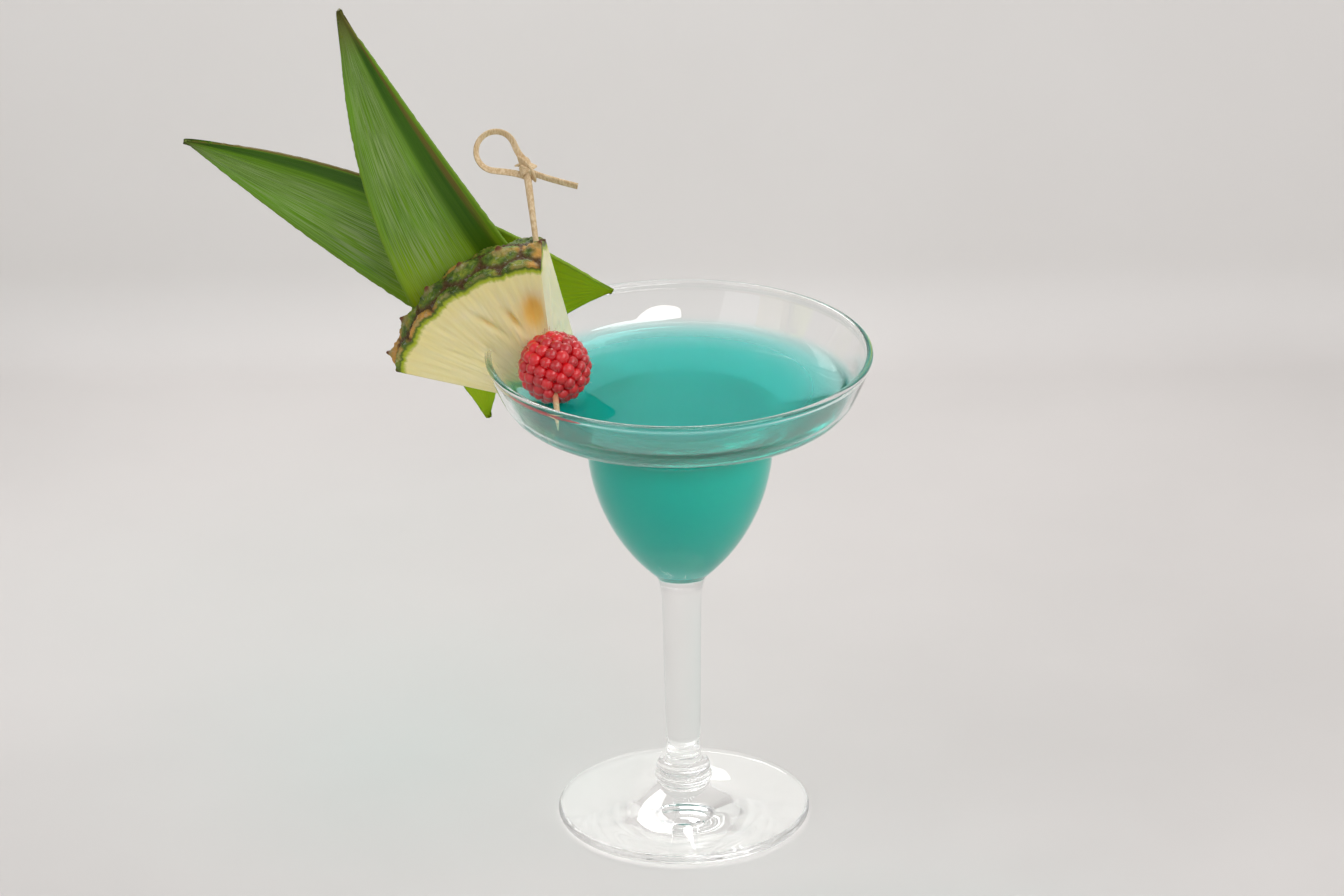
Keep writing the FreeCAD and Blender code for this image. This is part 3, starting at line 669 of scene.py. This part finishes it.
fold_points = [(-1.9, -0.6, 2.6), (-0.6, -1.8, 1.6), (0.9, -1.9, -0.6), (1.9, -0.8, -2.8),
               (1.4, 0.8, -3.6)]
strips = [("loop", loop_points, 2.0, 0.62, loop_tilts),
          ("tail", tail_points, 2.3, 0.7, [0.35] * len(tail_points)),
          ("wrap", wrap_points, 3.4, 0.6, [0.0] * len(wrap_points)),
          ("fold", fold_points, 2.6, 0.6, [0.3] * len(fold_points))]
for strip_name, points, width, thick, tilts in strips:
    pick_bm.from_mesh(ribbon(strip_name, points, width, thick, tilts))
core = bmesh.ops.create_uvsphere(pick_bm, u_segments=16, v_segments=10, radius=1.0)["verts"]
for vert in core:
    vert.co = on_knot((vert.co.x * 1.7, vert.co.y * 1.5, vert.co.z * 3.2))
pick = finished("knotted_bamboo_pick", pick_bm)


def bamboo_body(wire):
    along = wire.mark("along")
    lie = wire.place((1, 1, 0.12))
    grain = wire.cloud(lie, 1.6, 4.0, 0.6)
    mottle = wire.cloud(wire.place(), 0.25, 2.0)
    wood = grain.step(0.3, 0.7).between((0.60, 0.40, 0.20), (0.84, 0.66, 0.42))
    wood = (mottle.step(0.5, 0.7) * 0.4).between(wood, (0.66, 0.50, 0.26))
    stained = along.step(-9.0, -10.5) * along.step(-13.0, -11.5)
    wood = (stained * 0.5).between(wood, (0.75, 0.12, 0.05))
    return wire.surface(Base_Color=wood, Roughness=0.55 + grain * 0.15,
                        Normal=wire.relief(grain, 0.0002))


coat(pick, "split bamboo", bamboo_body, "bamboo", "bamboo_pick")

# ------------------------------------------------------------------ raspberry
# A fresh raspberry threaded on the pick: about a hundred juicy drupelets, each with the dry brown
# thread of its flower, packed round a core.

berry_random = random.Random(7)
DRUPELETS, BERRY_RING, BERRY_CORE, DRUPELET = 104, 8.85, 8.6, 1.98
GOLDEN = math.pi * (3 - math.sqrt(5))
berry_bm = bmesh.new()
berry_middle = Vector((0.6, 0, 0))


def seeded(spread):
    """A chance number from -spread to spread, the same on each run."""
    return berry_random.uniform(-spread, spread)


def on_berry(vert, mark, value, point):
    """Set a mesh point given from the berry's middle, and its mark."""
    vert.co = on_pick(berry_middle + point)
    vert[mark] = value


tone = berry_bm.verts.layers.float.new("tone")
for vert in bmesh.ops.create_uvsphere(berry_bm, u_segments=32, v_segments=20, radius=BERRY_CORE)["verts"]:
    on_berry(vert, tone, 0.0, vert.co.copy())
for number in range(DRUPELETS):
    height = 1 - 2 * (number + 0.5) / DRUPELETS
    ring = math.sqrt(1 - height * height)
    turn = GOLDEN * number + seeded(0.05)
    out = Vector((ring * math.cos(turn), ring * math.sin(turn), height + seeded(0.02))).normalized()
    lie = out.to_track_quat("Z", "Y").to_matrix()
    size = DRUPELET + seeded(0.14)
    shade = berry_random.random()
    for vert in bmesh.ops.create_uvsphere(berry_bm, u_segments=20, v_segments=14, radius=1.0)["verts"]:
        swollen = Vector((vert.co.x * size, vert.co.y * size, vert.co.z * size * 0.92))
        on_berry(vert, tone, shade, out * BERRY_RING + lie @ swollen)
    lean = Vector((seeded(1), seeded(1), seeded(1)))
    hair = (out * 2.2 + lean * 0.9).normalized()
    lie = hair.to_track_quat("Z", "Y").to_matrix()
    for vert in bmesh.ops.create_cone(berry_bm, segments=4, radius1=0.07, radius2=0.03, depth=2.2,
                                      cap_ends=True)["verts"]:
        on_berry(vert, tone, 2.0, out * (BERRY_RING + size - 0.5) + lie @ vert.co)
berry = finished("raspberry_fruit", berry_bm)


def berry_body(wire):
    shade = wire.mark("tone")
    cloud = wire.cloud(wire.place(), 0.45, 2.0)
    red = shade.step(0.0, 1.0).between((0.52, 0.001, 0.005), (0.82, 0.006, 0.012))
    red = (cloud.step(0.45, 0.7) * 0.35).between(red, (0.85, 0.012, 0.035))
    colour = shade.step(1.5, 1.6).between(red, (0.55, 0.26, 0.12))
    return wire.surface(Base_Color=colour, Roughness=0.3 + cloud * 0.12, IOR=1.45,
                        Subsurface_Weight=0.12, Subsurface_Radius=(0.003, 0.0006, 0.0004),
                        Coat_Weight=1.0, Coat_Roughness=0.03, Normal=wire.relief(cloud, 0.0002))


coat(berry, "raspberry flesh", berry_body, "raspberry", "raspberry")

# ------------------------------------------------------------------ studio
# A pale table that sweeps up into a pale wall, a large soft light from the upper right, a long oval
# one in front that shines in the dish, a fill from the left and a small one behind.

FLOOR_DROP, TABLE, WALL_AT, SWEEP, WALL_HEIGHT = 0.0004, 2.4, 0.36, 0.03, 1.6
studio_bm = bmesh.new()
sweep = [(-TABLE, 0.0), (WALL_AT - SWEEP, 0.0)]
sweep += arc((WALL_AT - SWEEP, 0.0), (WALL_AT, SWEEP), SWEEP, 1, 10) + [(WALL_AT, WALL_HEIGHT)]
sweep_verts = [studio_bm.verts.new((-TABLE, away, up - FLOOR_DROP)) for away, up in sweep]
sweep_edges = [studio_bm.edges.new(pair) for pair in zip(sweep_verts, sweep_verts[1:])]
swept = bmesh.ops.extrude_edge_only(studio_bm, edges=sweep_edges)
bmesh.ops.translate(studio_bm, vec=(2 * TABLE, 0, 0),
                    verts=[item for item in swept["geom"] if isinstance(item, bmesh.types.BMVert)])
bmesh.ops.recalc_face_normals(studio_bm, faces=studio_bm.faces)
studio = finished("studio_floor", studio_bm)
on_wall = studio.data.attributes.new("on_wall", "FLOAT", "POINT")
on_wall.data.foreach_set("value", [min(1.0, max(0.0, vert.co.z / SWEEP)) for vert in studio.data.vertices])
studio_paint = bpy.data.materials.new("pale studio paint")
studio_paint.use_nodes = True
studio_paint.node_tree.nodes.clear()
paint = Wire(studio_paint.node_tree)
# Broad soft patches of lighter and darker paint over the table and the wall.
broad_mottle = paint.cloud(paint.place(), 0.004, 4.0).step(0.2, 0.8)
table_paint = broad_mottle.between((0.64, 0.615, 0.60), (0.73, 0.70, 0.685))
wall_paint = broad_mottle.between((0.76, 0.735, 0.715), (0.82, 0.80, 0.785))
end_at(paint, {"Surface": paint.surface(
    Base_Color=paint.mark("on_wall").between(table_paint, wall_paint), Roughness=0.6)})
studio.data.materials.append(studio_paint)


def area_light(name, place, aim, width, height, power, colour=(1, 1, 1), shape="RECTANGLE"):
    """A soft light in metres and watts, which the lens doesn't see itself."""
    light = bpy.data.lights.new(name, "AREA")
    light.shape, light.size, light.size_y = shape, width, height
    light.energy, light.color = power, colour
    lamp = bpy.data.objects.new(name, light)
    lamp.visible_camera = False
    lamp.location = place
    lamp.rotation_euler = (Vector(aim) - Vector(place)).to_track_quat("-Z", "Y").to_euler()
    bpy.context.scene.collection.objects.link(lamp)


area_light("key", (0.75, -0.35, 1.15), (0, 0, 0.1), 0.9, 0.7, 4.5, (1.0, 0.985, 0.97))
area_light("front", (0.642, -1.069, 0.88), (0, 0, 0.12), 1.6, 0.2, 4.5, (1.0, 0.99, 0.98), "ELLIPSE")
area_light("fill", (-1.0, -0.7, 0.8), (0, 0, 0.1), 1.2, 1.0, 2.5, (0.97, 0.985, 1.0))
area_light("back", (-0.12, 0.33, 0.42), (0, 0, 0.1), 0.3, 0.16, 1.0)

world = bpy.data.worlds.new("studio air")
world.use_nodes = True
world.node_tree.nodes["Background"].inputs["Color"].default_value = (0.93, 0.93, 0.94, 1)
world.node_tree.nodes["Background"].inputs["Strength"].default_value = 0.47
bpy.context.scene.world = world
bpy.context.scene.view_settings.view_transform = "Standard"
bpy.context.scene.cycles.max_bounces = 24
bpy.context.scene.cycles.transmission_bounces = 24
bpy.context.scene.cycles.glossy_bounces = 24

# ------------------------------------------------------------------ camera
# A long lens about 1.9 m away and above the rim, looking down at the drink. From so far off the
# rim's ellipse is hardly fuller in front than behind.

ELEVATION, YAW, ROLL = math.radians(23.558), math.radians(-0.077), math.radians(-0.657)
FOCAL_SHARE = 6500 / 1344     # the focal length as a share of the frame's width
STAND = (0, -1.727355, 0.870084)

flat = math.cos(ELEVATION)
ahead = Vector((math.sin(YAW) * flat, math.cos(YAW) * flat, -math.sin(ELEVATION)))
level = ahead.cross(Vector((0, 0, 1))).normalized()
upright = level.cross(ahead)
right = level * math.cos(ROLL) + upright * math.sin(ROLL)
top = upright * math.cos(ROLL) - level * math.sin(ROLL)
lens = bpy.data.cameras.new("camera")
lens.sensor_fit, lens.sensor_width, lens.lens = "HORIZONTAL", 36.0, 36.0 * FOCAL_SHARE
lens.clip_start, lens.clip_end = 0.05, 20.0
camera = bpy.data.objects.new("camera", lens)
turned_lens = Matrix((right, top, -ahead)).transposed().to_4x4()
camera.matrix_world = Matrix.Translation(STAND) @ turned_lens
bpy.context.scene.collection.objects.link(camera)
bpy.context.scene.camera = camera
